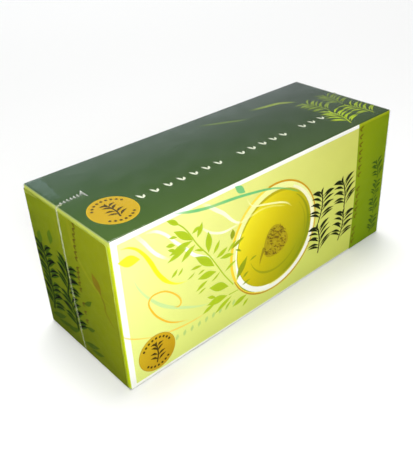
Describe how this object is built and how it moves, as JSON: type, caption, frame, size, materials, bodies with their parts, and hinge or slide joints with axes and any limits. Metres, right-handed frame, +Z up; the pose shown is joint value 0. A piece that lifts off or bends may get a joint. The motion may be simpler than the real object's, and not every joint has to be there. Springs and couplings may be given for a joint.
{
  "type": "tea box",
  "caption": "Long folding carton of tea bags, shut and sealed in clear shrink film with a seam up each end and a crinkled film tail on the top.",
  "frame": {"origin": "centre of the base, on the surface that the pack stands on", "axes": "+X along the carton's length, to the end without the film tail; -Y out of the front panel; +Z up"},
  "size_m": [0.1758, 0.0652, 0.0769],
  "materials": {
    "board": "coated board, printed in greens and yellows, satin",
    "film": "clear shrink film, glossy"
  },
  "bodies": {
    "root": {"carton": "board", "film": "film"}
  },
  "joints": []
}
